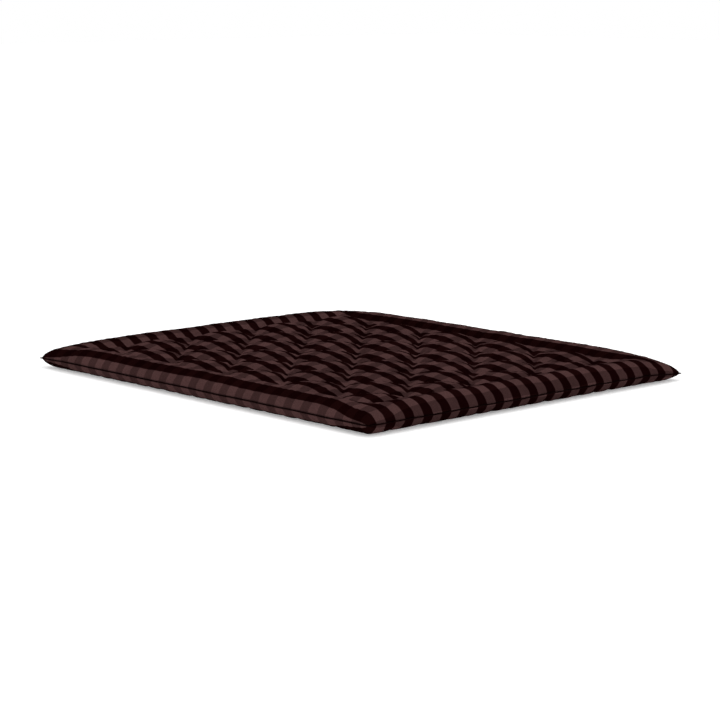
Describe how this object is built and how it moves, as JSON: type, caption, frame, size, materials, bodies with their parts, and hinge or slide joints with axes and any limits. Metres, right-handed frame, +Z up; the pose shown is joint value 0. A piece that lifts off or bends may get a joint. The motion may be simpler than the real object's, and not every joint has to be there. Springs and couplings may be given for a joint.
{
  "type": "futon mattress",
  "caption": "Thin tufted futon mattress with a raised rolled border, a piped seam round its edge and a dark woven check cover.",
  "frame": {"origin": "centre of the underside, on the surface that the mattress lies on", "axes": "+X across the width, +Y along the length, +Z up through the thickness"},
  "size_m": [1.8, 2.1, 0.106],
  "materials": {
    "check_cloth": "matte woven check, dark brown",
    "piping_cloth": "matte, very dark brown",
    "cord_cotton": "matte",
    "case_cotton": "matte plain weave",
    "wool": "matte felted",
    "cotton": "matte felted",
    "core_fibre": "matte bonded fibre",
    "roll_felt": "matte felted",
    "twine": "matte twisted"
  },
  "bodies": {
    "root": {"top_cover": "check_cloth", "bottom_cover": "check_cloth", "piping_tape": "piping_cloth", "piping_cord": "cord_cotton", "inner_case_top": "case_cotton", "inner_case_bottom": "case_cotton", "upper_wool_batt": "wool", "lower_wool_batt": "wool", "upper_cotton_batt": "cotton", "lower_cotton_batt": "cotton", "core_pad": "core_fibre", "edge_roll_left": "roll_felt", "edge_roll_right": "roll_felt", "edge_roll_front": "roll_felt", "edge_roll_back": "roll_felt", "tuft_twines": "twine", "top_tuft_knots": "twine", "bottom_tuft_knots": "twine"}
  },
  "joints": []
}
